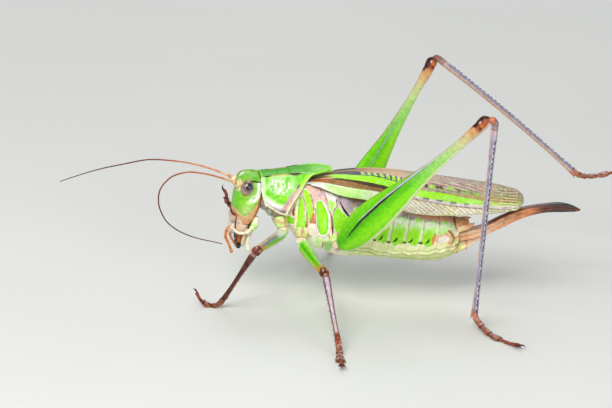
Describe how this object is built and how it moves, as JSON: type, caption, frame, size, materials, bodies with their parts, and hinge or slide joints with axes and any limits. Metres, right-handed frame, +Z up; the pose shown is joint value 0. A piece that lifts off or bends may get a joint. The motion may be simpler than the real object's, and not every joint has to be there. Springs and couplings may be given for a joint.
{
  "type": "long horned grasshopper",
  "caption": "Life-size standing bush-cricket with long thread-like feelers, folded leathery wings, jumping legs and a curved blade-shaped egg-layer.",
  "frame": {"origin": "on the floor, under the middle of the whole animal's bounding box", "axes": "+X from the head to the tail, +Y to the animal's right, +Z up from the floor"},
  "size_m": [0.0844, 0.0556, 0.031],
  "materials": {
    "brown_cuticle": "satin",
    "eye": "satin",
    "feeler": "satin",
    "green_cuticle": "satin",
    "grey_cuticle": "satin",
    "ovipositor": "satin",
    "pale_cuticle": "satin",
    "tan_cuticle": "satin",
    "wing": "satin"
  },
  "bodies": {
    "root": {"abdomen_front": "green_cuticle", "abdomen_middle": "green_cuticle", "abdomen_rear": "green_cuticle", "antenna_left_base": "tan_cuticle", "antenna_left_inner": "feeler", "antenna_left_outer": "feeler", "antenna_right_base": "tan_cuticle", "antenna_right_inner": "feeler", "antenna_right_outer": "feeler", "cercus_left": "tan_cuticle", "cercus_right": "tan_cuticle", "epiproct": "tan_cuticle", "eye_left": "eye", "eye_right": "eye", "foreleg_left_coxa": "pale_cuticle", "foreleg_left_femur": "green_cuticle", "foreleg_left_tarsus": "brown_cuticle", "foreleg_left_tibia": "brown_cuticle", "foreleg_right_coxa": "pale_cuticle", "foreleg_right_femur": "green_cuticle", "foreleg_right_tarsus": "brown_cuticle", "foreleg_right_tibia": "brown_cuticle", "forewing_left": "wing", "forewing_right": "wing", "head": "green_cuticle", "hindleg_left_coxa": "pale_cuticle", "hindleg_left_femur": "green_cuticle", "hindleg_left_tarsus": "brown_cuticle", "hindleg_left_tibia": "grey_cuticle", "hindleg_right_coxa": "pale_cuticle", "hindleg_right_femur": "green_cuticle", "hindleg_right_tarsus": "brown_cuticle", "hindleg_right_tibia": "grey_cuticle", "hindwing_left": "wing", "hindwing_right": "wing", "labial_palp_left": "pale_cuticle", "labial_palp_right": "pale_cuticle", "labium": "pale_cuticle", "labrum": "pale_cuticle", "mandible_left": "tan_cuticle", "mandible_right": "tan_cuticle", "maxillary_palp_left": "pale_cuticle", "maxillary_palp_right": "pale_cuticle", "mesothorax": "pale_cuticle", "metathorax": "pale_cuticle", "midleg_left_coxa": "pale_cuticle", "midleg_left_femur": "green_cuticle", "midleg_left_tarsus": "brown_cuticle", "midleg_left_tibia": "brown_cuticle", "midleg_right_coxa": "pale_cuticle", "midleg_right_femur": "green_cuticle", "midleg_right_tarsus": "brown_cuticle", "midleg_right_tibia": "brown_cuticle", "ovipositor_lower": "ovipositor", "ovipositor_upper": "ovipositor", "pronotum": "green_cuticle", "prothorax": "pale_cuticle", "subgenital_plate": "pale_cuticle"}
  },
  "joints": []
}
